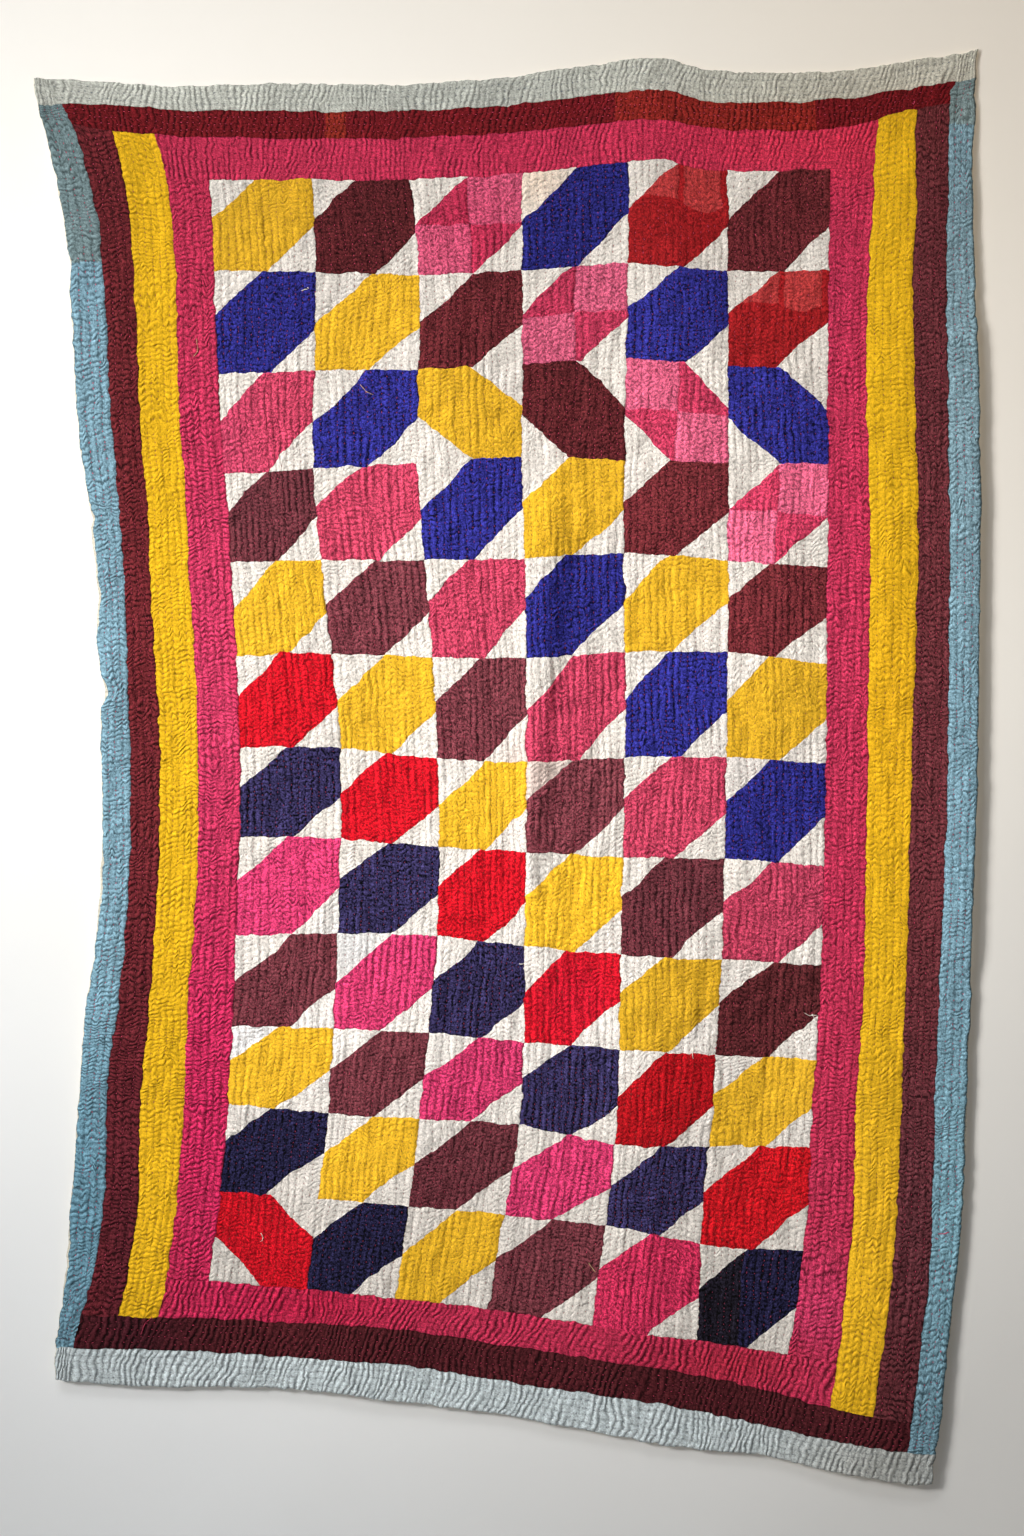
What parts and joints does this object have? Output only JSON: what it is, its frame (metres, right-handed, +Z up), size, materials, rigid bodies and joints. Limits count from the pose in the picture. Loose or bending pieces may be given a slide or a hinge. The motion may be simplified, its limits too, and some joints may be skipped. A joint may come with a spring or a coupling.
{
  "type": "hanging ralli quilt",
  "caption": "Hand-quilted patchwork quilt with striped borders, hung on a wall from its top edge as a textile hanging.",
  "frame": {"origin": "middle of the top edge, on the back of the cloth, where the wall is", "axes": "+X to the viewer's right along the top edge, +Y from the face of the quilt into the wall, +Z up"},
  "size_m": [1.4259, 0.0225, 2.1566],
  "materials": {
    "patchwork": "hand-quilted cotton patchwork",
    "pink": "hand-quilted cotton",
    "yellow": "hand-quilted cotton",
    "maroon": "hand-quilted cotton",
    "blue": "hand-quilted cotton",
    "pale": "hand-quilted cotton",
    "backing": "plain washed cotton"
  },
  "bodies": {
    "root": {"backing_cloth": "backing", "patchwork_field": "patchwork", "pink_band_top": "pink", "pink_band_bottom": "pink", "pink_band_left": "pink", "pink_band_right": "pink", "yellow_stripe_left": "yellow", "yellow_stripe_right": "yellow", "maroon_band_top": "maroon", "maroon_band_bottom": "maroon", "maroon_band_left": "maroon", "maroon_band_right": "maroon", "blue_band_left": "blue", "blue_band_right": "blue", "edge_band_top": "pale", "edge_band_bottom": "pale"}
  },
  "joints": []
}
